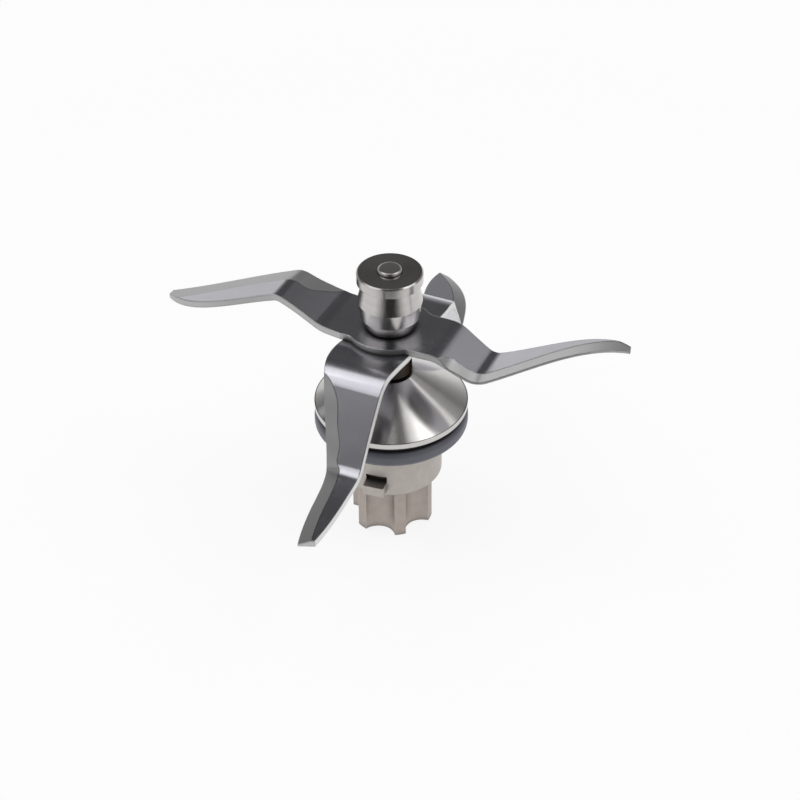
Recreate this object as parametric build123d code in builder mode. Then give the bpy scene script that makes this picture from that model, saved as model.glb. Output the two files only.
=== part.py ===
from build123d import *
import os
from math import cos, degrees, radians, sin, sqrt, tan
from typing import NamedTuple

# Blade unit of a kitchen blender: a turned knob and two crossed, bent blades on a shaft that
# runs in ball bearings inside a bayonet bush, under a stainless bell with a rubber seal.
# Millimetres. The shaft axis is Z, and the origin is at the lower end of the drive star.

# Clearances
press_clearance = 0.02
slip_clearance = 0.05
lip_clearance = 0.05
running_gap = 0.4
match_tolerance = 0.001

# Shaft
shaft_r = 4.0
stud_r = 3.5
stud_flat = 3.0
rivet_r = 2.9
peen_lip = 0.2
peen_height = 1.0
peen_edge = 0.7
collar_width = 1.2
collar_height = 1.5
shaft_end_edge = 0.4

# Drive star
star_lobes = 6
star_lobe_angle = 6.0
star_r = 10.8
star_root_r = 7.5
star_flute_r = 4.5
star_length = 14.9
star_edge = 0.5
star_boss_step = 0.6

# Ball bearings
bearing_width = 7.0
ball_r = 1.985
ball_pitch_r = 7.5
ball_count = 7
groove_clearance = 0.1
race_wall = 1.515
race_depth = 0.6
race_edge = 0.3
cage_half_height = 2.6
cage_thickness = 1.7
cage_clearance = 0.12
shield_thickness = 0.4
shield_inset = 0.1
shield_gap = 0.25
bearing_spacing = 5.0
spacer_wall = 1.4

# Retaining ring in the mouth of the bush
circlip_thickness = 1.0
circlip_groove = 0.5
circlip_width = 1.7
circlip_opening = 40.0
circlip_ear_r = 1.6
circlip_ear_hole_r = 0.7
circlip_ledge = 1.4

# Bayonet bush
bush_wall = 2.3
bush_skirt = 22.0
bush_edge = 1.4
bush_mouth_edge = 0.3
spigot_step = 1.3
spigot_height = 2.5
bush_lip = 2.5
lug_count = 2
lug_angle = -83.3
lug_reach = 2.7
lug_width = 5.6
lug_height = 2.8
lug_rise = 2.7
lug_edge = 0.5
pocket_height = 1.7
pocket_depth = 1.4

# Bell
bell_r = 20.0
rim_height = 1.45
rim_line = 0.25
bell_slope = 32.0
neck_r = 5.9
bell_hole_gap = 0.4

# Flange seal
seal_overhang = 0.1
seal_height = 6.2
seal_groove_height = 1.8
seal_groove_depth = 1.7
seal_round = 1.6

# Shaft seal
shaft_seal_r = 7.0
shaft_seal_height = 4.2
shaft_seal_wall = 0.6
shaft_seal_lip = 1.1
shaft_seal_gap = 1.2

# Blade sleeve
sleeve_r = 5.5
sleeve_length = 10.3
sleeve_edge = 0.4

# Blades
blade_sheet = 1.8
root_bend_r = 8.0
knee_bend_r = 4.0
bevel_depth = 1.2
bevel_lead_in = 0.15
bevel_stations = 20
hub_r = 11.1
hub_blend = 3.0


class Arm(NamedTuple):
    """One bent arm of a blade: distances outwards from the shaft axis, edges from its centre line."""

    hub: float  # where the edges leave the hub
    root: float  # first bend
    ramp: float  # slope of the panel between the bends in degrees, upwards positive
    knee: float  # second bend
    pitch: float  # slope of the tip panel in degrees
    sweep: float  # where the edges have swung back
    reach: float  # leading corner of the tip
    rake: float  # how far the tip's trailing corner lies behind the leading one
    bevel: float  # width of the ground bevel, which runs in over the same length
    lead_hub: float
    lead_root: float
    lead_knee: float
    lead_sweep: float
    lead_tip: float
    trail_hub: float
    trail_root: float
    trail_knee: float
    trail_sweep: float
    trail_tip: float


dipping_arm = Arm(
    hub=10.0, root=16.0, ramp=-31.0, knee=26.0, pitch=21.0, sweep=45.0, reach=62.0, rake=0.3, bevel=2.4,
    lead_hub=8.2, lead_root=7.8, lead_knee=5.5, lead_sweep=-4.4, lead_tip=-4.8,
    trail_hub=-8.2, trail_root=-8.0, trail_knee=-7.0, trail_sweep=-10.2, trail_tip=-6.1,
)
rising_arm = Arm(
    hub=10.0, root=16.0, ramp=23.4, knee=28.7, pitch=-16.0, sweep=46.5, reach=62.3, rake=0.3, bevel=6.8,
    lead_hub=8.2, lead_root=8.7, lead_knee=7.9, lead_sweep=2.6, lead_tip=-1.9,
    trail_hub=-8.6, trail_root=-7.7, trail_knee=-6.6, trail_sweep=-9.9, trail_tip=-4.6,
)
front_arm = Arm(
    hub=8.5, root=20.5, ramp=-53.5, knee=35.0, pitch=-1.0, sweep=48.0, reach=61.6, rake=1.5, bevel=3.5,
    lead_hub=9.3, lead_root=8.7, lead_knee=1.7, lead_sweep=-0.8, lead_tip=-3.7,
    trail_hub=-8.8, trail_root=-7.6, trail_knee=-7.4, trail_sweep=-8.0, trail_tip=-7.6,
)
back_arm = Arm(
    hub=8.5, root=19.5, ramp=-50.0, knee=36.0, pitch=-8.0, sweep=49.6, reach=62.0, rake=0.5, bevel=3.8,
    lead_hub=8.9, lead_root=9.2, lead_knee=4.8, lead_sweep=0.15, lead_tip=-10.5,
    trail_hub=-8.6, trail_root=-8.2, trail_knee=-8.4, trail_sweep=-12.1, trail_tip=-12.7,
)

# Knob
knob_foot_r = 6.2
knob_waist_r = 7.8
knob_waist_z = 3.7
knob_belly_r = 8.25
knob_belly_z = 7.8
knob_neck_r = 7.2
knob_disc_r = 8.44
knob_disc_height = 2.7
knob_height = 16.3
knob_edge = 0.35

# Heights, from the lower end of the star upwards
bush_bottom = star_length + running_gap
circlip_z = bush_bottom + circlip_ledge
lower_bearing_z = circlip_z + circlip_thickness
upper_bearing_z = lower_bearing_z + bearing_width + bearing_spacing
bearing_top = upper_bearing_z + bearing_width
rim_z = bush_bottom + bush_skirt
spigot_top = rim_z + spigot_height
recess_top = spigot_top + slip_clearance
neck_z = rim_z + rim_height + (bell_r - neck_r) * tan(radians(bell_slope))
sleeve_z = neck_z + running_gap
lower_blade_top = sleeve_z + sleeve_length + blade_sheet
upper_blade_top = lower_blade_top + blade_sheet
knob_top = upper_blade_top + knob_height

# Radii that follow from the bearings
bearing_r = ball_pitch_r + ball_r + race_wall
inner_race_r = ball_pitch_r - ball_r + race_depth
outer_race_r = ball_pitch_r + ball_r - race_depth
bush_r = bearing_r + bush_wall

pieces = []


def keep(piece, label):
    """Name a finished piece and put it on the list of pieces to write."""
    piece.part.label = label
    pieces.append(piece)


def turned(label, *profile):
    """Turn a closed profile of radius and height points about the shaft axis."""
    with BuildPart() as piece:
        with BuildSketch(Plane.XZ):
            with BuildLine():
                Polyline(*profile, close=True)
            make_face()
        revolve(axis=Axis.Z)
    keep(piece, label)


def turned_ring(label, inner_r, outer_r, low, high):
    """Turn a plain ring."""
    turned(label, (inner_r, low), (outer_r, low), (outer_r, high), (inner_r, high))


def panel_height(arm, distance):
    """Height of an arm's top face over the hub's, as if its panels met in sharp bends."""
    inner = max(min(distance, arm.knee) - arm.root, 0)
    outer = max(distance - arm.knee, 0)
    return tan(radians(arm.ramp)) * inner + tan(radians(arm.pitch)) * outer


def top_height(arm, distance):
    """Height of an arm's top face over the hub's, with both bends rounded."""
    bends = (
        (arm.root, 0, arm.ramp, root_bend_r),
        (arm.knee, arm.ramp, arm.pitch, knee_bend_r),
    )
    for place, inner_slope, outer_slope, bend_r in bends:
        inner, outer = radians(inner_slope), radians(outer_slope)
        turn = (outer - inner) / 2
        way = 1 if turn > 0 else -1
        tangent = bend_r * abs(tan(turn))
        if -tangent * cos(inner) < distance - place < tangent * cos(outer):
            lean = (inner + outer) / 2
            centre = place - way * bend_r * sin(lean) / cos(turn)
            centre_height = panel_height(arm, place) + way * bend_r * cos(lean) / cos(turn)
            return centre_height - way * sqrt(bend_r**2 - (distance - centre) ** 2)
    return panel_height(arm, distance)


def bent_blade(label, plan, arms, hub_radius=None):
    """Bend, trim, pierce and grind one two-armed blade.

    The plan's origin is on the top of the hub. The first arm runs along its X, the second against
    it. The blade turns clockwise seen from above, so looking out from the hub the leading edge is
    on the right of each arm.
    """
    ends = list(zip((1, -1), arms))
    overrun = blade_sheet + knee_bend_r
    depth = 2 * max(arm.reach for arm in arms)
    with BuildPart() as blade:
        # Side view of the bent sheet, from tip to tip
        with BuildSketch(Plane(plan.origin, x_dir=plan.x_dir, z_dir=-plan.y_dir)):
            with BuildLine():
                bends = [
                    [
                        (way * arm.root, 0),
                        (way * arm.knee, panel_height(arm, arm.knee)),
                        (way * (arm.reach + overrun), panel_height(arm, arm.reach + overrun)),
                    ]
                    for way, arm in ends
                ]
                radii = (knee_bend_r, root_bend_r, root_bend_r, knee_bend_r)
                top_line = FilletPolyline(*bends[1][::-1], *bends[0], radius=radii)
                offset(top_line, amount=blade_sheet, side=Side.RIGHT)
            make_face()
        extrude(amount=depth, both=True)

        # Plan outline, with a round hub where the arms are narrower than it
        with BuildSketch(plan) as outline:
            with BuildLine():
                leads = []
                trails = []
                for way, arm in ends:
                    lead = Spline(
                        (way * arm.hub, -way * arm.lead_hub),
                        (way * arm.root, -way * arm.lead_root),
                        (way * arm.knee, -way * arm.lead_knee),
                        (way * arm.sweep, -way * arm.lead_sweep),
                        (way * arm.reach, -way * arm.lead_tip),
                    )
                    trail = Spline(
                        (way * arm.hub, -way * arm.trail_hub),
                        (way * arm.root, -way * arm.trail_root),
                        (way * arm.knee, -way * arm.trail_knee),
                        (way * arm.sweep, -way * arm.trail_sweep),
                        (way * (arm.reach - arm.rake), -way * arm.trail_tip),
                    )
                    Line(lead @ 1, trail @ 1)
                    leads.append(lead)
                    trails.append(trail)
                Line(trails[0] @ 0, leads[1] @ 0)
                Line(trails[1] @ 0, leads[0] @ 0)
            make_face()
            if hub_radius:
                Circle(hub_radius)
                corners = outline.vertices()
                waists = corners.filter_by(lambda v: abs(Vector(*v).length - hub_radius) < match_tolerance)
                fillet(waists, hub_blend)
        extrude(amount=depth, both=True, mode=Mode.INTERSECT)

        # Flatted hole for the stud
        with BuildSketch(Plane(plan.origin)):
            Circle(stud_r + slip_clearance)
            Rectangle(2 * shaft_r, 2 * (stud_flat + slip_clearance), mode=Mode.INTERSECT)
        extrude(amount=-blade_sheet, mode=Mode.SUBTRACT)

        # Ground bevel on the top of each leading edge, from the first bend past the tip
        for (way, arm), lead in zip(ends, leads):
            spots = [lead @ (step / bevel_stations) for step in range(bevel_stations + 1)]
            spots.append(lead @ 1 + (lead % 1) * overrun)
            edge = {way * spot.X: -way * spot.Y for spot in spots}
            inner = max(u for u in edge if u < arm.root)
            for u in sorted(u for u in edge if u >= inner):
                width = max(min(u - arm.root, arm.bevel), -bevel_lead_in)
                slope = arm.ramp if u < arm.knee else arm.pitch
                fall = bevel_depth / arm.bevel / cos(radians(slope))
                top = top_height(arm, u)
                ceiling = top + blade_sheet
                outside = edge[u] + blade_sheet
                station = Plane(
                    plan.from_local_coords(Vector(way * u, 0, 0)),
                    x_dir=plan.y_dir * -way,
                    z_dir=plan.x_dir * -way,
                )
                with BuildSketch(station):
                    Polygon(
                        (edge[u] - width - blade_sheet / fall, ceiling),
                        (outside, top - (width + blade_sheet) * fall),
                        (outside, ceiling),
                        align=None,
                    )
            loft(mode=Mode.SUBTRACT)
    keep(blade, label)


# Drive star, pressed on the lower end of the shaft, with a boss against the lower bearing
with BuildPart() as star:
    with BuildSketch():
        Circle(star_r)
        with PolarLocations(star_root_r + star_flute_r, star_lobes, star_lobe_angle + 180 / star_lobes):
            Circle(star_flute_r, mode=Mode.SUBTRACT)
    extrude(amount=star_length)
    chamfer(star.edges().group_by(Axis.Z)[0], star_edge)
    with BuildSketch(Plane.XY.offset(star_length)):
        Circle(inner_race_r - star_boss_step)
    extrude(amount=lower_bearing_z - star_length)
    Hole(shaft_r + press_clearance)
keep(star, "drive_star")

# Shaft: bearing seat with a collar, flatted stud for the blades, and a peened rivet end
collar_r = shaft_r + collar_width
peen_r = rivet_r + peen_lip
turned_shaft = [
    (0, 0),
    (shaft_r - shaft_end_edge, 0),
    (shaft_r, shaft_end_edge),
    (shaft_r, bearing_top),
    (collar_r, bearing_top),
    (collar_r, bearing_top + collar_height),
    (shaft_r, bearing_top + collar_height),
    (shaft_r, sleeve_z),
    (stud_r, sleeve_z),
    (stud_r, upper_blade_top),
    (rivet_r, upper_blade_top),
    (rivet_r, knob_top),
    (peen_r, knob_top),
    (peen_r, knob_top + peen_height),
    (0, knob_top + peen_height),
]
with BuildPart() as shaft:
    with BuildSketch(Plane.XZ):
        with BuildLine():
            Polyline(*turned_shaft, close=True)
        make_face()
    revolve(axis=Axis.Z)
    with BuildSketch(Plane.XY.offset(lower_blade_top - blade_sheet)):
        Circle(stud_r)
        Rectangle(2 * stud_r, 2 * stud_flat, mode=Mode.SUBTRACT)
    extrude(amount=2 * blade_sheet, mode=Mode.SUBTRACT)
    fillet(shaft.edges().group_by(Axis.Z)[-1], peen_edge)
keep(shaft, "shaft")

# Two shielded ball bearings
groove_r = ball_r + groove_clearance
pocket_ball_r = ball_r + cage_clearance
for place, low in (("lower", lower_bearing_z), ("upper", upper_bearing_z)):
    middle = low + bearing_width / 2
    high = low + bearing_width

    with BuildPart() as inner_race:
        with BuildSketch(Plane.XZ):
            with Locations(((shaft_r + press_clearance + inner_race_r) / 2, middle)):
                Rectangle(inner_race_r - shaft_r - press_clearance, bearing_width)
            with Locations((ball_pitch_r, middle)):
                Circle(groove_r, mode=Mode.SUBTRACT)
        revolve(axis=Axis.Z)
    keep(inner_race, f"{place}_bearing_inner_race")

    with BuildPart() as outer_race:
        with BuildSketch(Plane.XZ):
            with Locations(((outer_race_r + bearing_r) / 2, middle)):
                race = Rectangle(bearing_r - outer_race_r, bearing_width)
            chamfer(race.vertices().group_by(Axis.X)[-1], race_edge)
            with Locations((ball_pitch_r, middle)):
                Circle(groove_r, mode=Mode.SUBTRACT)
        revolve(axis=Axis.Z)
    keep(outer_race, f"{place}_bearing_outer_race")

    with BuildPart() as balls:
        with Locations((0, 0, middle)):
            with PolarLocations(ball_pitch_r, ball_count):
                Sphere(ball_r)
    keep(balls, f"{place}_bearing_balls")

    with BuildPart() as cage:
        with BuildSketch(Plane.XZ):
            with Locations((ball_pitch_r, middle)):
                Rectangle(cage_thickness, 2 * cage_half_height)
        revolve(axis=Axis.Z)
        with Locations((0, 0, middle)):
            with PolarLocations(ball_pitch_r, ball_count):
                Cylinder(pocket_ball_r, 2 * cage_thickness, rotation=(0, 90, 0), mode=Mode.SUBTRACT)
    keep(cage, f"{place}_bearing_cage")

    shield_r = (inner_race_r + shield_gap, outer_race_r - press_clearance)
    shield_low = low + shield_inset
    shield_high = high - shield_inset
    turned_ring(f"{place}_bearing_bottom_shield", *shield_r, shield_low, shield_low + shield_thickness)
    turned_ring(f"{place}_bearing_top_shield", *shield_r, shield_high - shield_thickness, shield_high)

# Spacers that hold the bearings apart
spacer_low = lower_bearing_z + bearing_width
turned_ring("inner_spacer", shaft_r + slip_clearance, shaft_r + spacer_wall, spacer_low, upper_bearing_z)
turned_ring("outer_spacer", bearing_r - spacer_wall, bearing_r - slip_clearance, spacer_low, upper_bearing_z)

# Retaining ring, open on one side, with a pierced ear at each end
circlip_r = bearing_r + circlip_groove
ear_centre_r = circlip_r - circlip_width - circlip_ear_r / 2
ear_angle = circlip_opening / 2 + degrees(circlip_ear_r / ear_centre_r)
with BuildPart() as circlip:
    with BuildSketch(Plane.XY.offset(circlip_z)):
        Circle(circlip_r)
        Circle(circlip_r - circlip_width, mode=Mode.SUBTRACT)
        with BuildLine():
            mouth_left = PolarLine((0, 0), 2 * circlip_r, circlip_opening / 2)
            mouth_right = PolarLine((0, 0), 2 * circlip_r, -circlip_opening / 2)
            Line(mouth_left @ 1, mouth_right @ 1)
        make_face(mode=Mode.SUBTRACT)
        ears = PolarLocations(ear_centre_r, 2, -ear_angle, 2 * ear_angle, endpoint=True)
        with ears:
            Circle(circlip_ear_r)
        with ears:
            Circle(circlip_ear_hole_r, mode=Mode.SUBTRACT)
    extrude(amount=circlip_thickness)
keep(circlip, "circlip")

# Bayonet bush with a spigot for the bell, a shoulder over the upper bearing and two lugs
bush_bore = bearing_r + press_clearance
bush_lip_r = bearing_r - bush_lip
spigot_r = bush_r - spigot_step
bush_profile = [
    (bush_bore + bush_mouth_edge, bush_bottom),
    (bush_r - bush_edge, bush_bottom),
    (bush_r, bush_bottom + bush_edge),
    (bush_r, rim_z),
    (spigot_r, rim_z),
    (spigot_r, spigot_top),
    (bush_lip_r, spigot_top),
    (bush_lip_r, bearing_top),
    (bush_bore, bearing_top),
    (bush_bore, circlip_z + circlip_thickness + slip_clearance),
    (circlip_r + slip_clearance, circlip_z + circlip_thickness + slip_clearance),
    (circlip_r + slip_clearance, circlip_z - slip_clearance),
    (bush_bore, circlip_z - slip_clearance),
    (bush_bore, bush_bottom + bush_mouth_edge),
]
lug_z = bush_bottom + lug_rise
lug_root_r = bush_r - bush_edge
lug_r = bush_r + lug_reach
with BuildPart() as bush:
    with BuildSketch(Plane.XZ):
        with BuildLine():
            Polyline(*bush_profile, close=True)
        make_face()
    revolve(axis=Axis.Z)
    with BuildSketch(Plane.XY.offset(lug_z)) as lug_plan:
        with PolarLocations((lug_root_r + lug_r) / 2, lug_count, lug_angle):
            Rectangle(lug_r - lug_root_r, lug_width)
        fillet(lug_plan.vertices().filter_by(lambda v: Vector(*v).length > bush_r), lug_edge)
    extrude(amount=lug_height)
    with BuildSketch(Plane.XY.offset(lug_z + lug_height)):
        with PolarLocations(bush_r, lug_count, lug_angle):
            Rectangle(2 * pocket_depth, lug_width)
    extrude(amount=pocket_height, mode=Mode.SUBTRACT)
keep(bush, "bayonet_bush")

# Bell: turned cone over a bright rim, bored for the spigot, the shaft seal and the shaft
bell_bore = shaft_r + bell_hole_gap
pocket_r = shaft_seal_r + press_clearance
pocket_top = recess_top + shaft_seal_height + slip_clearance
turned(
    "bell",
    (spigot_r + slip_clearance, rim_z),
    (bell_r, rim_z),
    (bell_r, rim_z + rim_height),
    (bell_r - rim_line, rim_z + rim_height),
    (neck_r, neck_z),
    (bell_bore, neck_z),
    (bell_bore, pocket_top),
    (pocket_r, pocket_top),
    (pocket_r, recess_top),
    (spigot_r + slip_clearance, recess_top),
)

# Rubber seal under the bell's rim
seal_inner_r = bush_r + slip_clearance
seal_r = bell_r + seal_overhang
seal_groove_r = seal_r - seal_groove_depth
seal_low = rim_z - seal_height
with BuildPart() as seal:
    with BuildSketch(Plane.XZ) as seal_section:
        with BuildLine():
            Polyline(
                (seal_inner_r, seal_low),
                (seal_r, seal_low),
                (seal_r, rim_z - seal_groove_height),
                (seal_groove_r, rim_z - seal_groove_height),
                (seal_groove_r, rim_z),
                (seal_inner_r, rim_z),
                close=True,
            )
        make_face()
        fillet(seal_section.vertices().group_by(Axis.X)[-1], seal_round)
    revolve(axis=Axis.Z)
keep(seal, "flange_seal")

# Shaft seal: a pressed steel case round a rubber lip
case_top = recess_top + shaft_seal_height
case_inner_r = shaft_seal_r - shaft_seal_wall
case_hole_r = shaft_r + shaft_seal_gap
turned(
    "shaft_seal_case",
    (case_inner_r, recess_top),
    (shaft_seal_r, recess_top),
    (shaft_seal_r, case_top),
    (case_hole_r, case_top),
    (case_hole_r, case_top - shaft_seal_wall),
    (case_inner_r, case_top - shaft_seal_wall),
)
turned(
    "shaft_seal_lip",
    (case_inner_r - slip_clearance, recess_top),
    (case_inner_r - slip_clearance, case_top - shaft_seal_wall - slip_clearance),
    (case_hole_r, case_top - shaft_seal_wall - slip_clearance),
    (shaft_r + lip_clearance, recess_top + shaft_seal_lip),
    (shaft_r + lip_clearance, recess_top),
)

# Sleeve between the shaft's shoulder and the lower blade
turned(
    "blade_sleeve",
    (stud_r + slip_clearance, sleeve_z),
    (sleeve_r - sleeve_edge, sleeve_z),
    (sleeve_r, sleeve_z + sleeve_edge),
    (sleeve_r, sleeve_z + sleeve_length),
    (stud_r + slip_clearance, sleeve_z + sleeve_length),
)

# Crossed blades
bent_blade("lower_blade", Plane((0, 0, lower_blade_top), x_dir=(0, -1, 0)), (front_arm, back_arm))
bent_blade("upper_blade", Plane((0, 0, upper_blade_top)), (dipping_arm, rising_arm), hub_r)

# Knob, riveted on the stud
knob_disc_z = knob_top - knob_disc_height
turned(
    "knob",
    (rivet_r + slip_clearance, upper_blade_top),
    (knob_foot_r, upper_blade_top),
    (knob_waist_r, upper_blade_top + knob_waist_z),
    (knob_belly_r, upper_blade_top + knob_belly_z),
    (knob_neck_r, knob_disc_z),
    (knob_disc_r, knob_disc_z),
    (knob_disc_r, knob_top - knob_edge),
    (knob_disc_r - knob_edge, knob_top),
    (rivet_r + slip_clearance, knob_top),
)

os.makedirs("parts", exist_ok=True)
for piece in pieces:
    export_step(piece.part, f"parts/{piece.part.label}.step")
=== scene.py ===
"""Studio looks of a blender blade unit: a finish for every piece, soft light, floor and camera."""

import logging
from collections.abc import Mapping
from dataclasses import dataclass
from enum import Enum
from math import cos, pi, radians, sin
from typing import Any

import bmesh
import bpy
from mathutils import Matrix, Vector


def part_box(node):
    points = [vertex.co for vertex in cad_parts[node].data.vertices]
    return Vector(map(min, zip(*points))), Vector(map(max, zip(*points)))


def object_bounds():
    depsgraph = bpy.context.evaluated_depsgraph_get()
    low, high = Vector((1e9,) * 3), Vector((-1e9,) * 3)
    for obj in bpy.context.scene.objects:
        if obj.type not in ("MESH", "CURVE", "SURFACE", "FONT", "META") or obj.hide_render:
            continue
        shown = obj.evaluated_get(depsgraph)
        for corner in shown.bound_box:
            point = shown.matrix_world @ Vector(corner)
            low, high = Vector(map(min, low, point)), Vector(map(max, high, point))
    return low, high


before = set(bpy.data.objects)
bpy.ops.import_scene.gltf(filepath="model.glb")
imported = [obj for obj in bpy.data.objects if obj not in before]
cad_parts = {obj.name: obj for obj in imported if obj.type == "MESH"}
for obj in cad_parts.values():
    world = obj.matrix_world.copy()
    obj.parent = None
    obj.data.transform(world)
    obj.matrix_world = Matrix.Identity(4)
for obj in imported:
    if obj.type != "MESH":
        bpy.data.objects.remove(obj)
CAD_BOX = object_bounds()
MM = 0.001
WHITE = (1.0, 1.0, 1.0, 1.0)

Span = tuple[float, float]
Triple = tuple[float, float, float]
Output = bpy.types.NodeSocket
Outputs = bpy.types.NodeOutputs
Value = Output | float

log = logging.getLogger("blade_unit")


class Graph:
    """A shader node tree that is filled node by node."""

    def __init__(self, tree: bpy.types.NodeTree) -> None:
        """Take over a tree and remove what it starts with.

        Args:
            tree: The node tree of a material, a world or a group.
        """
        self.tree = tree
        tree.nodes.clear()

    def add(
        self, kind: str, inputs: Mapping[str | int, Any] | None = None, **settings: Any
    ) -> bpy.types.Node:
        """Place a node, set it up and join its inputs.

        Args:
            kind: The node's type without its ShaderNode prefix.
            inputs: For an input's name or number, the socket that feeds it or its constant value.
            **settings: Properties of the node itself.

        Returns:
            The new node.
        """
        node = self.tree.nodes.new("ShaderNode" + kind)
        for name, value in settings.items():
            setattr(node, name, value)
        for name, value in (inputs or {}).items():
            if isinstance(value, Output):
                self.tree.links.new(value, node.inputs[name])
            else:
                node.inputs[name].default_value = value
        return node

    def maths(
        self, operation: str, first: Value, second: Value = 0.0, clamp: bool = False
    ) -> Output:
        """Combine two values with a Math node.

        Args:
            operation: The Math node's operation.
            first: A socket or a number.
            second: A socket or a number.
            clamp: Whether the result stays between 0 and 1.

        Returns:
            The result's socket.
        """
        node = self.add("Math", {0: first, 1: second}, operation=operation, use_clamp=clamp)
        return node.outputs[0]

    def length(self, vector: Output) -> Output:
        """Measure a vector."""
        return self.add("VectorMath", {0: vector}, operation="LENGTH").outputs["Value"]

    def dot(self, first: Output, second: Output) -> Output:
        """Multiply two vectors into one value."""
        node = self.add("VectorMath", {0: first, 1: second}, operation="DOT_PRODUCT")
        return node.outputs["Value"]

    def scale(self, vector: Output, factor: Output) -> Output:
        """Multiply a vector by one value."""
        node = self.add("VectorMath", {0: vector, "Scale": factor}, operation="SCALE")
        return node.outputs[0]

    def stretch(self, vector: Output, factors: Output | Triple) -> Output:
        """Multiply a vector by another one, axis by axis."""
        node = self.add("VectorMath", {0: vector, 1: factors}, operation="MULTIPLY")
        return node.outputs[0]

    def mask(self, value: Output, span: Span, smooth: bool = False) -> Output:
        """Turn a value into a mask from 0 to 1.

        Args:
            value: The socket to map.
            span: The value that becomes 0 and the one that becomes 1.
            smooth: Whether the mask eases in and out.

        Returns:
            The mask's socket.
        """
        ends = {"Value": value, "From Min": span[0], "From Max": span[1]}
        kind = "SMOOTHSTEP" if smooth else "LINEAR"
        return self.add("MapRange", ends, interpolation_type=kind).outputs["Result"]

    def spread(self, value: Output, low: float, high: float) -> Output:
        """Map a value from the range 0 to 1 onto low to high.

        Args:
            value: The socket to map.
            low: What 0 becomes.
            high: What 1 becomes.

        Returns:
            The mapped socket.
        """
        ends = {"Value": value, "To Min": low, "To Max": high}
        return self.add("MapRange", ends).outputs["Result"]

    def mix(self, share: Value, first: Value, second: Value) -> Output:
        """Mix two values.

        Args:
            share: How much of the second, from 0 to 1.
            first: A socket or a number.
            second: A socket or a number.

        Returns:
            The mixed value's socket.
        """
        return self.add("Mix", {0: share, 2: first, 3: second}, data_type="FLOAT").outputs[0]

    def blend(self, share: Value, first: Output | Triple, second: Output | Triple) -> Output:
        """Mix two colours.

        Args:
            share: How much of the second, from 0 to 1.
            first: A socket, or red, green and blue.
            second: A socket, or red, green and blue.

        Returns:
            The mixed colour's socket.
        """
        shades = [
            tone if isinstance(tone, Output) else (*tone, 1.0) for tone in (first, second)
        ]
        return self.add("Mix", {0: share, 6: shades[0], 7: shades[1]}, data_type="RGBA").outputs[2]

    def mirrored(self) -> Output:
        """Find the rays that a polished face or glass sends on: 1 for those, 0 for others."""
        path = self.add("LightPath").outputs
        return self.maths("MAXIMUM", path["Is Glossy Ray"], path["Is Transmission Ray"])


def new_material(name: str) -> tuple[bpy.types.Material, Graph]:
    """Make a material with an empty node tree.

    Args:
        name: The material's name.

    Returns:
        The material, and the graph to fill for it.
    """
    material = bpy.data.materials.new(name)
    material.use_nodes = True
    return material, Graph(material.node_tree)


def new_sheet(
    name: str, shape: bmesh.types.BMesh, material: bpy.types.Material
) -> bpy.types.Object:
    """Turn a flat shape into an object of the scene.

    Args:
        name: The object's name.
        shape: The shape, which is freed.
        material: The object's material.

    Returns:
        The object.
    """
    mesh = bpy.data.meshes.new(name)
    shape.to_mesh(mesh)
    shape.free()
    mesh.materials.append(material)
    sheet = bpy.data.objects.new(name, mesh)
    bpy.context.scene.collection.objects.link(sheet)
    return sheet


@dataclass(frozen=True)
class Noise:
    """The settings of a noise texture."""

    scale: float
    detail: float
    roughness: float = 0.5
    distortion: float = 0.0

    def place(self, graph: Graph, vector: Output) -> Output:
        """Put the texture into a graph.

        Args:
            graph: The graph to add it to.
            vector: Where on the surface it is read.

        Returns:
            The noise's value, about 0.5 on average.
        """
        inputs = {
            "Vector": vector,
            "Scale": self.scale,
            "Detail": self.detail,
            "Roughness": self.roughness,
            "Distortion": self.distortion,
        }
        return graph.add("TexNoise", inputs).outputs[0]


class Socket(Enum):
    """Kinds of socket on an effect."""

    VALUE = "NodeSocketFloat"
    VECTOR = "NodeSocketVector"


class Effect:
    """A surface effect that several finishes share, kept as one node group."""

    name = "effect"
    inputs: Mapping[str, Socket] = {}
    outputs: Mapping[str, Socket] = {}

    def __init__(self) -> None:
        """Make the node group, with its sockets and its nodes."""
        self.tree = bpy.data.node_groups.new(self.name, "ShaderNodeTree")
        graph = Graph(self.tree)
        for label, kind in self.inputs.items():
            self.tree.interface.new_socket(label, in_out="INPUT", socket_type=kind.value)
        for label, kind in self.outputs.items():
            self.tree.interface.new_socket(label, in_out="OUTPUT", socket_type=kind.value)
        entry = self.tree.nodes.new("NodeGroupInput")
        leave = self.tree.nodes.new("NodeGroupOutput")
        for label, value in self.fill(graph, entry.outputs).items():
            self.tree.links.new(value, leave.inputs[label])

    def fill(self, graph: Graph, given: Outputs) -> dict[str, Output]:
        """Build the effect's nodes.

        Args:
            graph: The group's graph.
            given: The group's inputs, by name.

        Returns:
            The socket behind each output, by name.
        """
        raise NotImplementedError

    def place(self, graph: Graph, inputs: Mapping[str, Any]) -> Outputs:
        """Put the effect into a material.

        Args:
            graph: The material's graph.
            inputs: A socket or a value for each input of the effect.

        Returns:
            The placed group's outputs, by name.
        """
        return graph.add("Group", inputs, node_tree=self.tree).outputs


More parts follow.
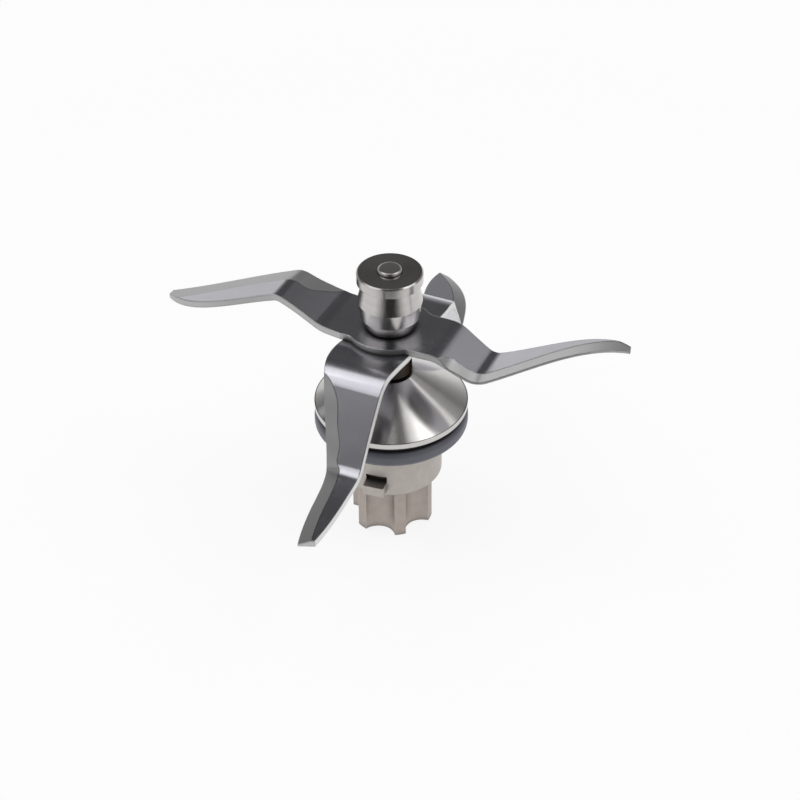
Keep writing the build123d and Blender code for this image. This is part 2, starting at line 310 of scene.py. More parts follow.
class TurningMarks(Effect):
    """Fine rings that a lathe tool leaves round the shaft axis."""

    name = "turning_marks"
    inputs = {"Place": Socket.VECTOR, "Pitch": Socket.VALUE}
    outputs = {"Height": Socket.VALUE, "Tone": Socket.VALUE}
    rings = Noise(scale=1.0, detail=2.0, roughness=0.6)
    bands = Noise(scale=0.12, detail=1.0)

    def fill(self, graph: Graph, given: Outputs) -> dict[str, Output]:
        """Build noise that changes along the radius and the axis alone.

        Args:
            graph: The group's graph.
            given: The place on the piece and the marks' pitch in metres.

        Returns:
            The marks' height and their broad bands.
        """
        xyz = graph.add("SeparateXYZ", {0: given["Place"]}).outputs
        flat = graph.add("CombineXYZ", {"X": xyz["X"], "Y": xyz["Y"]}).outputs[0]
        across = graph.add("CombineXYZ", {"X": graph.length(flat), "Y": xyz["Z"]}).outputs[0]
        fine = graph.scale(across, graph.maths("DIVIDE", 1.0, given["Pitch"]))
        return {"Height": self.rings.place(graph, fine), "Tone": self.bands.place(graph, fine)}


class SheetGrain(Effect):
    """Long fine streaks of rolled and brushed sheet."""

    name = "sheet_grain"
    inputs = {"Place": Socket.VECTOR, "Stretch": Socket.VECTOR}
    outputs = {"Height": Socket.VALUE, "Tone": Socket.VALUE}
    streaks = Noise(scale=1.0, detail=3.0, roughness=0.65)
    bands = Noise(scale=0.2, detail=2.0)

    def fill(self, graph: Graph, given: Outputs) -> dict[str, Output]:
        """Build noise that is drawn out along the grain.

        Args:
            graph: The group's graph.
            given: The place on the piece, and how many streaks fit in a metre along each axis.

        Returns:
            The streaks' height and their broad tone.
        """
        drawn = graph.stretch(given["Place"], given["Stretch"])
        return {"Height": self.streaks.place(graph, drawn), "Tone": self.bands.place(graph, drawn)}


class CastGrain(Effect):
    """Fine pits and mottling of sintered, cast or moulded surfaces."""

    name = "cast_grain"
    inputs = {"Place": Socket.VECTOR, "Size": Socket.VALUE}
    outputs = {"Height": Socket.VALUE, "Tone": Socket.VALUE}
    grit = Noise(scale=0.8, detail=4.0, roughness=0.6)
    mottle = Noise(scale=0.08, detail=3.0, roughness=0.6)
    cell_scale = 1.0
    cell_share = 0.4

    def fill(self, graph: Graph, given: Outputs) -> dict[str, Output]:
        """Build rounded grains with a few open pits.

        Args:
            graph: The group's graph.
            given: The place on the piece and the grain size in metres.

        Returns:
            The grains' height and the mottled tone.
        """
        fine = graph.scale(given["Place"], graph.maths("DIVIDE", 1.0, given["Size"]))
        cells = graph.add("TexVoronoi", {"Vector": fine, "Scale": self.cell_scale}, feature="F1")
        grains = graph.maths("MULTIPLY", cells.outputs["Distance"], self.cell_share)
        height = graph.maths("ADD", grains, self.grit.place(graph, fine))
        return {"Height": height, "Tone": self.mottle.place(graph, fine)}


class HandlingMarks(Effect):
    """Faint smears and hairline scratches from handling."""

    name = "handling_marks"
    inputs = {"Place": Socket.VECTOR}
    outputs = {"Smear": Socket.VALUE, "Scratch": Socket.VALUE}
    patches = Noise(scale=90.0, detail=3.0, distortion=0.6)
    patch_span: Span = (0.42, 0.72)
    threads = Noise(scale=1.0, detail=0.0, distortion=1.5)
    thread_stretch: Triple = (260.0, 330.0, 300.0)
    thread_middle = 0.5
    thread_half = 0.006

    def fill(self, graph: Graph, given: Outputs) -> dict[str, Output]:
        """Build soft patches, and thin lines in them where a noise crosses its middle value.

        Args:
            graph: The group's graph.
            given: The place on the piece.

        Returns:
            The smears' and the scratches' masks.
        """
        patch = self.patches.place(graph, given["Place"])
        smear = graph.mask(patch, self.patch_span, smooth=True)
        thread = self.threads.place(graph, graph.stretch(given["Place"], self.thread_stretch))
        off = graph.maths("ABSOLUTE", graph.maths("SUBTRACT", thread, self.thread_middle))
        line = graph.mask(off, (self.thread_half, 0.0))
        return {"Smear": smear, "Scratch": graph.maths("MULTIPLY", line, smear)}


class SoftEdges(Effect):
    """Broken edges: a small round on every corner, with masks of sharp edges and creases."""

    name = "soft_edges"
    inputs = {"Radius": Socket.VALUE}
    outputs = {"Normal": Socket.VECTOR, "Edge": Socket.VALUE, "Crease": Socket.VALUE}
    samples = 6
    edge_match: Span = (0.99, 0.85)
    crease_match: Span = (0.9995, 0.994)
    edge_weight = 4.0

    def fill(self, graph: Graph, given: Outputs) -> dict[str, Output]:
        """Build the rounded normal and compare it with the face's own.

        Args:
            graph: The group's graph.
            given: The corner radius in metres.

        Returns:
            The rounded normal, the edge mask and the mask of shallow creases.
        """
        rounded = graph.add("Bevel", {"Radius": given["Radius"]}, samples=self.samples).outputs[0]
        match = graph.dot(rounded, graph.add("NewGeometry").outputs["Normal"])
        edge = graph.mask(match, self.edge_match)
        turn = graph.mask(match, self.crease_match)
        sharp = graph.maths("MULTIPLY", edge, self.edge_weight)
        crease = graph.maths("SUBTRACT", turn, sharp, clamp=True)
        return {"Normal": rounded, "Edge": edge, "Crease": crease}


class PaintedCornerShade(Effect):
    """Painted shade: ambient occlusion darkens the colour in corners, recesses and contact lines.
    """

    name = "painted_corner_shade"
    inputs = {"Reach": Socket.VALUE}
    outputs = {"PaintedShade": Socket.VALUE}
    samples = 8
    open_share: Span = (0.85, 0.45)

    def fill(self, graph: Graph, given: Outputs) -> dict[str, Output]:
        """Build a mask of the places that other faces close in.

        Args:
            graph: The group's graph.
            given: How far away a face still counts, in metres.

        Returns:
            The mask of the painted shade.
        """
        reach = {"Distance": given["Reach"]}
        seen = graph.add("AmbientOcclusion", reach, samples=self.samples).outputs["AO"]
        return {"PaintedShade": graph.mask(seen, self.open_share)}


class SheetFaces(Effect):
    """Tells a bent sheet's ground bevels and its sheared walls from its rolled faces."""

    name = "sheet_faces"
    inputs = {"Normal": Socket.VECTOR, "Across": Socket.VECTOR}
    outputs = {"Ground": Socket.VALUE, "Sheared": Socket.VALUE}
    wall_rise: Span = (0.28, 0.2)
    bevel_lean: Span = (0.04, 0.08)

    def fill(self, graph: Graph, given: Outputs) -> dict[str, Output]:
        """Build masks from which way a face looks.

        Args:
            graph: The group's graph.
            given: The face's normal and the direction across the arms, in the piece's own axes.

        Returns:
            The masks of the ground and of the sheared faces.
        """
        rise = graph.add("SeparateXYZ", {0: given["Normal"]}).outputs["Z"]
        sheared = graph.mask(graph.maths("ABSOLUTE", rise), self.wall_rise)
        lean = graph.dot(given["Normal"], given["Across"])
        tilted = graph.mask(graph.maths("ABSOLUTE", lean), self.bevel_lean)
        return {"Ground": graph.maths("SUBTRACT", tilted, sheared, clamp=True), "Sheared": sheared}


class Grain(Enum):
    """The way a surface was worked."""

    TURNED = "turned"
    ROLLED = "rolled"
    CAST = "cast"


@dataclass(frozen=True)
class Finish:
    """What a surface is made of and how it was worked.

    Attributes:
        name: The material's name.
        dark: Colour where the grain's tone is 0.
        light: Colour where the grain's tone is 1.
        roughness: Roughness in the grain's hollows and on its tops.
        grain: How the surface was worked.
        metallic: 1 for metal, and 0 for rubber and plastic.
        grain_size: Pitch or size of the grain in metres, except on rolled sheet.
        stretch: Streaks in a metre along each axis, on rolled sheet.
        relief: Height of the grain in metres.
        anisotropic: How far turning marks draw out the mirrored light.
        edge_radius: Radius of the broken edges in metres.
        edge_light: How much brighter the rubbed edges are.
        crease_shade: How much painted shade darkens the shallow creases.
        edge_tint: Colour of metal at a grazing angle.
        painted_shade: How much shade is painted into the corners.
        painted_shade_reach: How far from a corner the painted shade reaches, in metres.
    """

    name: str
    dark: Triple
    light: Triple
    roughness: Span
    grain: Grain
    metallic: float = 1.0
    grain_size: float = 0.2 * MM
    stretch: Triple = (0.0, 0.0, 0.0)
    relief: float = 0.002 * MM
    anisotropic: float = 0.0
    edge_radius: float = 0.15 * MM
    edge_light: float = 0.15
    crease_shade: float = 0.0
    edge_tint: Triple = (1.0, 1.0, 1.0)
    # Painted shade: how much ambient occlusion darkens corners, and how far it reaches.
    painted_shade: float = 0.0
    painted_shade_reach: float = 1.0 * MM


@dataclass(frozen=True)
class BladeFinish(Finish):
    """A rolled sheet's finish, with that of its ground bevels and its sheared walls.

    Attributes:
        across: The direction across the arms.
        ground: Colour of the bevels.
        ground_stretch: Grinding marks in a metre along each axis.
        sheared: Colour of the walls.
        cut_roughness: Middle roughness of the bevels and the walls.
        cut_spread: How far their roughness goes to either side of it.
    """

    across: Triple = (0.0, 1.0, 0.0)
    ground: Triple = (0.38, 0.375, 0.375)
    ground_stretch: Triple = (0.0, 0.0, 0.0)
    sheared: Triple = (0.47, 0.465, 0.465)
    cut_roughness: float = 0.42
    cut_spread: float = 0.05


@dataclass(frozen=True)
class WearAndShade:
    """What use does to every finish, and the shade painted into its creases and corners: their
    colours, and what they add to the roughness.
    """

    edge_colour: Triple = (0.9, 0.9, 0.9)
    # Painted shade: the colour of the dark line in shallow creases and of the shade in corners.
    crease_shade_colour: Triple = (0.02, 0.02, 0.02)
    painted_shade_colour: Triple = (0.012, 0.011, 0.010)
    smear_roughness: float = 0.02
    scratch_roughness: float = 0.03
    # Roughness added where shade is painted into corners.
    painted_shade_roughness: float = 0.2


@dataclass(frozen=True)
class Surface:
    """The sockets that a shader takes from a finish."""

    colour: Output
    roughness: Output
    height: Output


class Workshop:
    """Makes materials from finishes, with one copy of each shared effect."""

    bump_strength = 1.0
    quarter_turn = 0.25

    def __init__(self) -> None:
        """Make the shared effects."""
        self.wear_and_shade = WearAndShade()
        self.turning = TurningMarks()
        self.sheet = SheetGrain()
        self.cast = CastGrain()
        self.handling = HandlingMarks()
        self.edges = SoftEdges()
        self.painted_corner_shade = PaintedCornerShade()
        self.faces = SheetFaces()

    def grain(self, graph: Graph, finish: Finish, place: Output) -> Outputs:
        """Place the effect that suits how a surface was worked.

        Args:
            graph: The material's graph.
            finish: The finish to place it for.
            place: Object coordinates.

        Returns:
            The effect's outputs, which are Height and Tone.
        """
        if finish.grain is Grain.TURNED:
            return self.turning.place(graph, {"Place": place, "Pitch": finish.grain_size})
        if finish.grain is Grain.ROLLED:
            return self.sheet.place(graph, {"Place": place, "Stretch": finish.stretch})
        return self.cast.place(graph, {"Place": place, "Size": finish.grain_size})

    def worked(self, graph: Graph, finish: Finish, place: Output) -> Surface:
        """Build a surface as it was worked, with the marks of handling.

        Args:
            graph: The material's graph.
            finish: The finish to build.
            place: Object coordinates.

        Returns:
            The surface.
        """
        grain = self.grain(graph, finish, place)
        marks = self.handling.place(graph, {"Place": place})
        smears = graph.maths("MULTIPLY", marks["Smear"], self.wear_and_shade.smear_roughness)
        scratches = graph.maths("MULTIPLY", marks["Scratch"], self.wear_and_shade.scratch_roughness)
        handled = graph.maths("ADD", smears, scratches)
        return Surface(
            colour=graph.blend(grain["Tone"], finish.dark, finish.light),
            roughness=graph.maths("ADD", graph.spread(grain["Height"], *finish.roughness), handled),
            height=grain["Height"],
        )

    def cut(self, graph: Graph, finish: BladeFinish, place: Output, rolled: Surface) -> Surface:
        """Give a sheet's bevels and walls their own tone and grinding marks.

        Args:
            graph: The material's graph.
            finish: The sheet's finish.
            place: Object coordinates.
            rolled: The surface of the rolled faces.

        Returns:
            The surface of all faces.
        """
        look = graph.add("TexCoord").outputs["Normal"]
        faces = self.faces.place(graph, {"Normal": look, "Across": finish.across})
        cut = graph.maths("ADD", faces["Ground"], faces["Sheared"], clamp=True)
        lines = self.sheet.place(graph, {"Place": place, "Stretch": finish.ground_stretch})
        ground = graph.blend(faces["Ground"], rolled.colour, finish.ground)
        low = finish.cut_roughness - finish.cut_spread
        dull = graph.spread(lines["Height"], low, finish.cut_roughness + finish.cut_spread)
        return Surface(
            colour=graph.blend(faces["Sheared"], ground, finish.sheared),
            roughness=graph.mix(cut, rolled.roughness, dull),
            height=graph.mix(cut, rolled.height, lines["Height"]),
        )

    def worn_and_shaded(self, graph: Graph, finish: Finish, edges: Outputs, fresh: Surface) -> Surface:
        """Rub a surface's edges bright, and paint shade into its creases and corners.

        Args:
            graph: The material's graph.
            finish: The finish, which says how much.
            edges: The outputs of the soft edges.
            fresh: The surface before its edges are rubbed and its shade is painted.

        Returns:
            The surface with rubbed edges and painted shade.
        """
        lift = graph.maths("MULTIPLY", edges["Edge"], finish.edge_light)
        colour = graph.blend(lift, fresh.colour, self.wear_and_shade.edge_colour)
        roughness = fresh.roughness
        # Painted shade: a dark line along the shallow creases.
        if finish.crease_shade:
            shade = graph.maths("MULTIPLY", edges["Crease"], finish.crease_shade)
            colour = graph.blend(shade, colour, self.wear_and_shade.crease_shade_colour)
        # Painted shade: ambient occlusion darkens corners, recesses and contact lines, and adds
        # some roughness there.
        if finish.painted_shade:
            painted_shade = self.painted_corner_shade.place(graph, {"Reach": finish.painted_shade_reach})["PaintedShade"]
            shade_share = graph.maths("MULTIPLY", painted_shade, finish.painted_shade)
            colour = graph.blend(shade_share, colour, self.wear_and_shade.painted_shade_colour)
            dull = graph.maths("MULTIPLY", shade_share, self.wear_and_shade.painted_shade_roughness)
            roughness = graph.maths("ADD", roughness, dull)
        return Surface(colour, roughness, fresh.height)

    def material(self, finish: Finish) -> bpy.types.Material:
        """Make the material of a finish.

        Args:
            finish: The finish to make.

        Returns:
            The material.
        """
        material, graph = new_material(finish.name)
        place = graph.add("TexCoord").outputs["Object"]
        edges = self.edges.place(graph, {"Radius": finish.edge_radius})
        surface = self.worked(graph, finish, place)
        if isinstance(finish, BladeFinish):
            surface = self.cut(graph, finish, place, surface)
        surface = self.worn_and_shaded(graph, finish, edges, surface)
        relief = {
            "Height": surface.height,
            "Strength": self.bump_strength,
            "Distance": finish.relief,
            "Normal": edges["Normal"],
        }
        inputs = {
            "Base Color": surface.colour,
            "Metallic": finish.metallic,
            "Roughness": surface.roughness,
            "Normal": graph.add("Bump", relief).outputs[0],
            "Anisotropic": finish.anisotropic,
            "Specular Tint": (*finish.edge_tint, 1.0),
        }
        if finish.anisotropic:
            around = graph.add("Tangent", direction_type="RADIAL", axis="Z").outputs[0]
            inputs |= {"Tangent": around, "Anisotropic Rotation": self.quarter_turn}
        shader = graph.add("BsdfPrincipled", inputs)
        graph.add("OutputMaterial", {"Surface": shader.outputs[0]})
        return material

    def dress(self, finish: Finish, *nodes: str) -> None:
        """Give a finish to pieces of the frame.

        Args:
            finish: The finish.
            *nodes: The pieces' names.
        """
        material = self.material(finish)
        for node in nodes:
            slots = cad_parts[node].data.materials
            slots.clear()
            slots.append(material)
            log.info("%s dressed in %s", node, finish.name)


@dataclass(frozen=True)
class Rotor:
    """What turns: the knob, both blades, the sleeve, the shaft and the drive star."""

    knob: Finish = Finish(
        name="turned_knob_steel",
        dark=(0.49, 0.475, 0.46),
        light=(0.56, 0.545, 0.53),
        roughness=(0.17, 0.24),
        grain=Grain.TURNED,
        grain_size=0.16 * MM,
        relief=0.0006 * MM,
        anisotropic=0.4,
        # Painted shade: a dark contact line at the knob's foot.
        painted_shade=0.9,
        painted_shade_reach=0.8 * MM,
    )
    upper_sheet: BladeFinish = BladeFinish(
        name="satin_blade_steel_long",
        dark=(0.51, 0.505, 0.545),
        light=(0.55, 0.545, 0.585),
        roughness=(0.20, 0.27),
        grain=Grain.ROLLED,
        stretch=(120.0, 4200.0, 4200.0),
        relief=0.0004 * MM,
        edge_radius=0.4 * MM,
        # Painted shade: a dark line along the bevels' creases.
        crease_shade=0.85,
        # Painted shade where the blades touch and round the knob's foot.
        painted_shade=0.9,
        painted_shade_reach=2.5 * MM,
        across=(0.0, 1.0, 0.0),
        ground=(0.46, 0.455, 0.455),
        ground_stretch=(4200.0, 200.0, 200.0),
    )
    lower_sheet: BladeFinish = BladeFinish(
        name="satin_blade_steel_cross",
        dark=(0.51, 0.505, 0.55),
        light=(0.55, 0.545, 0.59),
        roughness=(0.20, 0.27),
        grain=Grain.ROLLED,
        stretch=(4200.0, 120.0, 4200.0),
        relief=0.0004 * MM,
        edge_radius=0.4 * MM,
        # Painted shade: a dark line along the bevels' creases.
        crease_shade=0.85,
        # Painted shade where the blades touch.
        painted_shade=0.9,
        painted_shade_reach=2.5 * MM,
        across=(1.0, 0.0, 0.0),
        ground_stretch=(200.0, 4200.0, 200.0),
        sheared=(0.74, 0.735, 0.725),
    )
    # Painted shade: the near-black colour and brown edge tint stand in for the shadow under the
    # lower blade's hub.
    sleeve: Finish = Finish(
        name="sleeve_steel_painted_dark",
        dark=(0.040, 0.034, 0.028),
        light=(0.070, 0.059, 0.050),
        roughness=(0.34, 0.46),
        grain=Grain.TURNED,
        grain_size=0.2 * MM,
        edge_light=0.03,
        edge_tint=(0.20, 0.17, 0.15),
        # Painted shade reaching 5 mm out from the sleeve's corners.
        painted_shade=0.8,
        painted_shade_reach=5.0 * MM,
    )
    shaft: Finish = Finish(
        name="ground_shaft_steel",
        dark=(0.46, 0.44, 0.43),
        light=(0.52, 0.50, 0.49),
        roughness=(0.25, 0.31),
        grain=Grain.TURNED,
        grain_size=0.1 * MM,
        relief=0.0006 * MM,
        edge_radius=0.4 * MM,
        edge_light=0.0,
        # Painted shade in the contact lines of the shaft and its peened head.
        painted_shade=0.9,
    )
    star: Finish = Finish(
        name="sintered_star_metal",
        dark=(0.39, 0.345, 0.31),
        light=(0.52, 0.465, 0.425),
        roughness=(0.42, 0.58),
        grain=Grain.CAST,
        metallic=0.9,
        grain_size=0.18 * MM,
        relief=0.01 * MM,
        edge_radius=0.3 * MM,
        edge_light=0.3,
        # Painted shade in the corners of the flutes.
        painted_shade=0.5,
        painted_shade_reach=3.0 * MM,
    )

    def dress(self, workshop: Workshop) -> None:
        """Give each piece its finish.

        Args:
            workshop: Where the materials are made.
        """
        workshop.dress(self.knob, "knob")
        workshop.dress(self.upper_sheet, "upper_blade")
        workshop.dress(self.lower_sheet, "lower_blade")
        workshop.dress(self.sleeve, "blade_sleeve")
        workshop.dress(self.shaft, "shaft")
        workshop.dress(self.star, "drive_star")


@dataclass(frozen=True)
class Housing:
    """What stands still: the bell, its rubber seal and the bayonet bush."""

    bell: Finish = Finish(
        name="turned_bell_steel",
        dark=(0.56, 0.545, 0.53),
        light=(0.62, 0.605, 0.59),
        roughness=(0.17, 0.23),
        grain=Grain.TURNED,
        grain_size=0.14 * MM,
        relief=0.0004 * MM,
        anisotropic=0.6,
        # Painted shade round the sleeve at the cone's neck, reaching up to 9 mm.
        painted_shade=0.8,
        painted_shade_reach=9.0 * MM,
    )
    seal: Finish = Finish(
        name="blue_grey_seal_rubber",
        dark=(0.099, 0.100, 0.124),
        light=(0.129, 0.131, 0.158),
        roughness=(0.34, 0.46),
        grain=Grain.CAST,
        metallic=0.0,
        grain_size=0.25 * MM,
        relief=0.006 * MM,
        edge_light=0.03,
        # Painted shade in the recess under the bell's rim.
        painted_shade=0.95,
        painted_shade_reach=2.5 * MM,
    )
    bush: Finish = Finish(
        name="satin_bush_metal",
        dark=(0.42, 0.39, 0.36),
        light=(0.55, 0.51, 0.48),
        roughness=(0.36, 0.50),
        grain=Grain.CAST,
        metallic=0.9,
        grain_size=0.16 * MM,
        relief=0.006 * MM,
        edge_radius=0.25 * MM,
        edge_light=0.3,
        # Painted shade in the pockets over the bayonet lugs.
        painted_shade=0.8,
        painted_shade_reach=3.0 * MM,
    )

    def dress(self, workshop: Workshop) -> None:
        """Give each piece its finish.

        Args:
            workshop: Where the materials are made.
        """
        workshop.dress(self.bell, "bell")
        workshop.dress(self.seal, "flange_seal")
        workshop.dress(self.bush, "bayonet_bush")


@dataclass(frozen=True)
class Bearings:
    """What lies inside the bush: two ball bearings, spacers, the circlip and the shaft seal."""

    places: tuple[str, ...] = ("lower", "upper")
    steel: Finish = Finish(
        name="polished_bearing_steel",
        dark=(0.60, 0.60, 0.61),
        light=(0.68, 0.68, 0.69),
        roughness=(0.06, 0.16),
        grain=Grain.TURNED,
        grain_size=0.08 * MM,
        relief=0.0005 * MM,
        edge_radius=0.1 * MM,
    )
    rubber: Finish = Finish(
        name="black_shield_rubber",
        dark=(0.018, 0.018, 0.020),
        light=(0.032, 0.032, 0.034),
        roughness=(0.45, 0.62),
        grain=Grain.CAST,
        metallic=0.0,
        grain_size=0.2 * MM,
        relief=0.004 * MM,
        edge_radius=0.1 * MM,
        edge_light=0.02,
    )
    spring: Finish = Finish(
        name="dark_spring_steel",
        dark=(0.10, 0.10, 0.11),
        light=(0.17, 0.17, 0.18),
        roughness=(0.32, 0.48),
        grain=Grain.CAST,
        grain_size=0.12 * MM,
        relief=0.003 * MM,
        edge_radius=0.1 * MM,
    )
    plastic: Finish = Finish(
        name="cage_plastic",
        dark=(0.58, 0.52, 0.40),
        light=(0.68, 0.62, 0.50),
        roughness=(0.38, 0.52),
        grain=Grain.CAST,
        metallic=0.0,
        grain_size=0.2 * MM,
        relief=0.003 * MM,
        edge_radius=0.1 * MM,
        edge_light=0.05,
    )

    def pieces(self, *kinds: str) -> list[str]:
        """Name the like pieces of both bearings.

        Args:
            *kinds: The pieces' names within a bearing.

        Returns:
            The names of the frame's pieces.
        """
        return [f"{place}_bearing_{kind}" for place in self.places for kind in kinds]

    def dress(self, workshop: Workshop) -> None:
        """Give each piece its finish.

        Args:
            workshop: Where the materials are made.
        """
        sleeves = ("inner_spacer", "outer_spacer", "shaft_seal_case")
        workshop.dress(self.steel, *self.pieces("inner_race", "outer_race", "balls"), *sleeves)
        workshop.dress(self.rubber, *self.pieces("bottom_shield", "top_shield"), "shaft_seal_lip")
        workshop.dress(self.plastic, *self.pieces("cage"))
        workshop.dress(self.spring, "circlip")


@dataclass(frozen=True)
class Softbox:
    """A rectangular studio lamp that faces the unit.

    Attributes:
        name: The lamp's name.
        position: Where it hangs, in metres.
        width: Its width in metres.
        height: Its height in metres.
        radiance: How bright it looks, where 1 is white.
    """

    name: str
    position: Triple
    width: float
    height: float
    radiance: float

    def build(self, target: Vector) -> None:
        """Hang the lamp and turn it to the unit.

        Args:
            target: The point that the lamp faces.
        """
        lamp = bpy.data.lights.new(self.name, "AREA")
        lamp.shape = "RECTANGLE"
        lamp.size = self.width
        lamp.size_y = self.height
        lamp.energy = self.radiance * self.width * self.height * pi
        holder = bpy.data.objects.new(self.name, lamp)
        holder.location = self.position
        holder.rotation_mode = "QUATERNION"
        holder.rotation_quaternion = (target - Vector(self.position)).to_track_quat("-Z", "Y")
        holder.visible_camera = False
        bpy.context.scene.collection.objects.link(holder)
        log.info("%s hung", self.name)


@dataclass(frozen=True)
class Card:
    """A black card that only polished metal mirrors.

    Attributes:
        name: The card's name.
        azimuth: Where it stands round the unit, in degrees from the front.
        near: Distance from the axis and height over the floor of its near edge, in metres.
        far: The same of its far edge.
        width: Its width in metres.
        colour: Its colour.
    """

    name: str
    azimuth: float
    near: Span
    far: Span
    width: float
    colour: Triple = (0.03, 0.03, 0.03)

    def build(self) -> None:
        """Span the card between its near and its far edge."""
        shape = bmesh.new()
        bmesh.ops.create_grid(shape, x_segments=1, y_segments=1, size=self.width / 2)
        for corner in shape.verts:
            distance, height = self.far if corner.co.y < 0 else self.near
            corner.co = Vector((corner.co.x, -distance, CAD_BOX[0].z + height))
        turn = Matrix.Rotation(radians(self.azimuth), 3, "Z")
        bmesh.ops.rotate(shape, verts=shape.verts, cent=(0.0, 0.0, 0.0), matrix=turn)
        material, graph = new_material(self.name)
        matt = graph.add("BsdfDiffuse", {"Color": (*self.colour, 1.0)})
        graph.add("OutputMaterial", {"Surface": matt.outputs[0]})
        card = new_sheet(self.name, shape, material)
        card.visible_camera = False
        card.visible_diffuse = False
        card.visible_shadow = False
        log.info("%s set up", self.name)


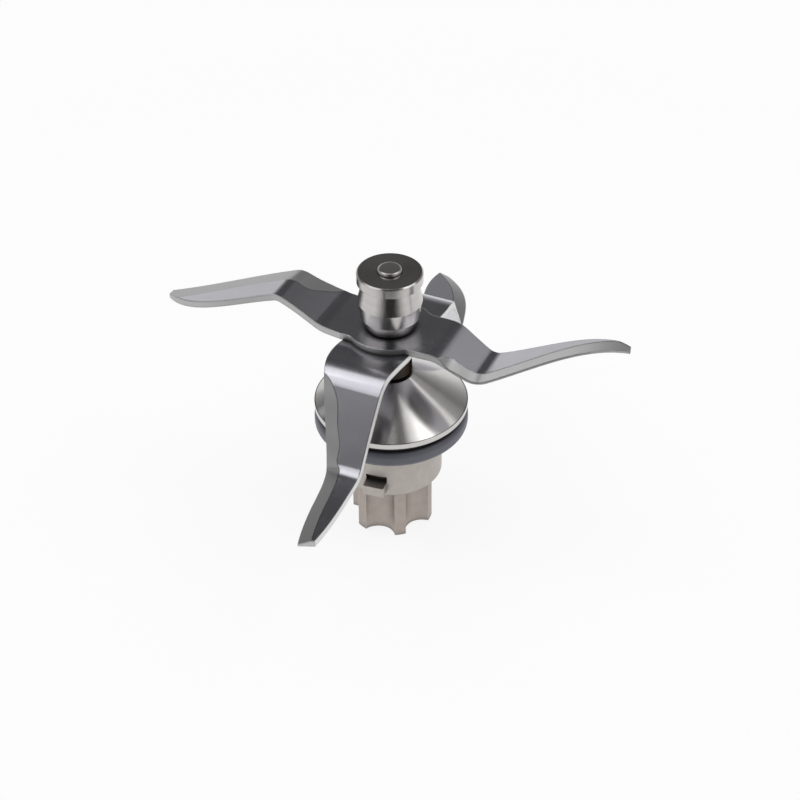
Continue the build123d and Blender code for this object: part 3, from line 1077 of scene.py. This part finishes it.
@dataclass(frozen=True)
class Studio:
    """The floor, the backdrop, the lamps and the black cards.

    Attributes:
        floor_half: Half the floor's side in metres.
        floor_colour: The floor's colour.
        floor_white: Share of plain white in the floor's picture, near the unit.
        floor_fade: Distances between which that share rises to 1, in metres.
        ambient: Strength of the light from all sides.
        target: The point that the lamps face.
        softboxes: The lamps.
        backdrop: Brightness of the mirrored surroundings by the sine of the elevation.
        cards: The black cards.
    """

    floor_half: float = 4.0
    floor_colour: Triple = (0.92, 0.92, 0.92)
    floor_white: float = 0.86
    floor_fade: Span = (0.25, 0.8)
    ambient: float = 0.5
    target: Triple = (0.0, 0.0, 0.05)
    softboxes: tuple[Softbox, ...] = (
        Softbox("overhead_left_box", (-0.29, -0.10, 0.95), width=0.42, height=0.8, radiance=1.25),
        Softbox("overhead_right_box", (0.49, 0.06, 0.90), width=0.38, height=0.5, radiance=1.25),
        Softbox("right_box", (0.62, 0.20, 0.82), width=0.6, height=0.6, radiance=1.2),
        Softbox("back_right_box", (0.53, 0.45, 0.77), width=0.36, height=0.34, radiance=0.95),
        Softbox("front_left_box", (-0.54, -0.40, 0.82), width=1.0, height=0.5, radiance=1.25),
        Softbox("back_left_fill", (-0.66, 0.76, 0.32), width=0.55, height=0.35, radiance=0.5),
        Softbox("back_right_rim", (0.40, 0.72, 0.67), width=0.46, height=0.36, radiance=0.35),
    )
    backdrop: tuple[Span, ...] = (
        (0.0, 1.0),
        (0.06, 0.7),
        (0.2, 0.42),
        (0.35, 0.27),
        (0.45, 0.14),
        (0.55, 0.06),
        (0.8, 0.08),
        (1.0, 0.15),
    )
    cards: tuple[Card, ...] = (
        Card("floor_card", azimuth=26.0, near=(0.11, 1.0 * MM), far=(0.75, 1.0 * MM), width=0.3),
        Card("standing_card", azimuth=26.0, near=(0.75, 1.0 * MM), far=(0.75, 0.55), width=0.62),
    )

    def build(self) -> None:
        """Set up the world, the floor, the cards and the lamps."""
        self.build_world()
        self.build_floor()
        for card in self.cards:
            card.build()
        for softbox in self.softboxes:
            softbox.build(Vector(self.target))

    def build_world(self) -> None:
        """Make a white backdrop, whose mirror image darkens from the floor up to the ceiling."""
        world = bpy.data.worlds.new("studio")
        world.use_nodes = True
        graph = Graph(world.node_tree)
        way = graph.add("TexCoord").outputs["Generated"]
        ramp = graph.add("ValToRGB", {"Fac": graph.add("SeparateXYZ", {0: way}).outputs["Z"]})
        stops = ramp.color_ramp.elements
        while len(stops) < len(self.backdrop):
            stops.new(position=0.5)
        for stop, (height, shade) in zip(stops, self.backdrop):
            stop.position = height
            stop.color = (shade, shade, shade, 1.0)
        image = graph.add("Background", {"Color": ramp.outputs[0], "Strength": 1.0}).outputs[0]
        scattered = graph.add("Background", {"Color": WHITE, "Strength": self.ambient}).outputs[0]
        white = graph.add("Background", {"Color": WHITE, "Strength": 1.0}).outputs[0]
        lit = graph.add("MixShader", {0: graph.mirrored(), 1: scattered, 2: image}).outputs[0]
        straight = graph.add("LightPath").outputs["Is Camera Ray"]
        mix = graph.add("MixShader", {0: straight, 1: lit, 2: white})
        graph.add("OutputWorld", {"Surface": mix.outputs[0]})
        bpy.context.scene.world = world

    def build_floor(self) -> None:
        """Lay a plain pale floor under the unit."""
        shape = bmesh.new()
        bmesh.ops.create_grid(shape, x_segments=1, y_segments=1, size=self.floor_half)
        bmesh.ops.translate(shape, verts=shape.verts, vec=(0.0, 0.0, CAD_BOX[0].z))
        floor = new_sheet("floor", shape, self.floor_material())
        log.info("floor laid")

    def floor_material(self) -> bpy.types.Material:
        """Make the floor's matt surface, lifted to white but for the shadow, and clear from below.

        Returns:
            The material.
        """
        material, graph = new_material("pale_floor")
        matt = graph.add("BsdfDiffuse", {"Color": (*self.floor_colour, 1.0)}).outputs[0]
        white = graph.add("Emission", {"Color": WHITE, "Strength": 1.0}).outputs[0]
        straight = graph.add("LightPath").outputs["Is Camera Ray"]
        seen = graph.maths("MAXIMUM", straight, graph.mirrored())
        distance = graph.length(graph.add("TexCoord").outputs["Object"])
        lift = graph.spread(graph.mask(distance, self.floor_fade), self.floor_white, 1.0)
        share = graph.maths("MULTIPLY", seen, lift)
        top = graph.add("MixShader", {0: share, 1: matt, 2: white}).outputs[0]
        below = graph.add("NewGeometry").outputs["Backfacing"]
        clear = graph.add("BsdfTransparent").outputs[0]
        sheet = graph.add("MixShader", {0: below, 1: top, 2: clear})
        graph.add("OutputMaterial", {"Surface": sheet.outputs[0]})
        return material


@dataclass(frozen=True)
class Camera:
    """The camera, standing where the picture was taken from.

    Attributes:
        azimuth: Where it stands round the unit, in degrees from the front.
        elevation: How high it stands, in degrees.
        distance: How far it is from its target, in metres.
        roll: How far it leans to a side, in degrees.
        lens: The focal length in millimetres.
        sensor: The sensor's width in millimetres.
        shift: The picture's shift to the right and up, in parts of its width.
        clip: The nearest and the farthest distance that it sees, in metres.
    """

    azimuth: float = 25.0
    elevation: float = 37.48
    distance: float = 522.5 * MM
    roll: float = -0.654
    lens: float = 90.1
    sensor: float = 36.0
    shift: Span = (0.0110, 0.0018)
    clip: Span = (10 * MM, 100.0)

    def build(self, target: Vector) -> None:
        """Place the camera and make it the scene's own.

        Args:
            target: The point that the camera looks at.
        """
        turn, rise = radians(self.azimuth), radians(self.elevation)
        back = Vector((sin(turn) * cos(rise), -cos(turn) * cos(rise), sin(rise)))
        data = bpy.data.cameras.new("camera")
        data.lens = self.lens
        data.sensor_width = self.sensor
        data.shift_x, data.shift_y = self.shift
        data.clip_start, data.clip_end = self.clip
        camera = bpy.data.objects.new("camera", data)
        aim = (-back).to_track_quat("-Z", "Y").to_matrix().to_4x4()
        place = Matrix.Translation(target + back * self.distance)
        camera.matrix_world = place @ aim @ Matrix.Rotation(radians(self.roll), 4, "Z")
        bpy.context.scene.collection.objects.link(camera)
        bpy.context.scene.camera = camera
        log.info("camera placed")


def main() -> None:
    """Dress the unit, set the studio and place the camera."""
    logging.basicConfig(level=logging.INFO, format="%(name)s: %(message)s")
    bpy.context.scene.view_settings.view_transform = "Standard"
    workshop = Workshop()
    for assembly in (Rotor(), Housing(), Bearings()):
        assembly.dress(workshop)
    Studio().build()
    rim_foot = Vector((0.0, 0.0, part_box("bell")[0].z))
    Camera().build(rim_foot)


if __name__ == "__main__":
    main()
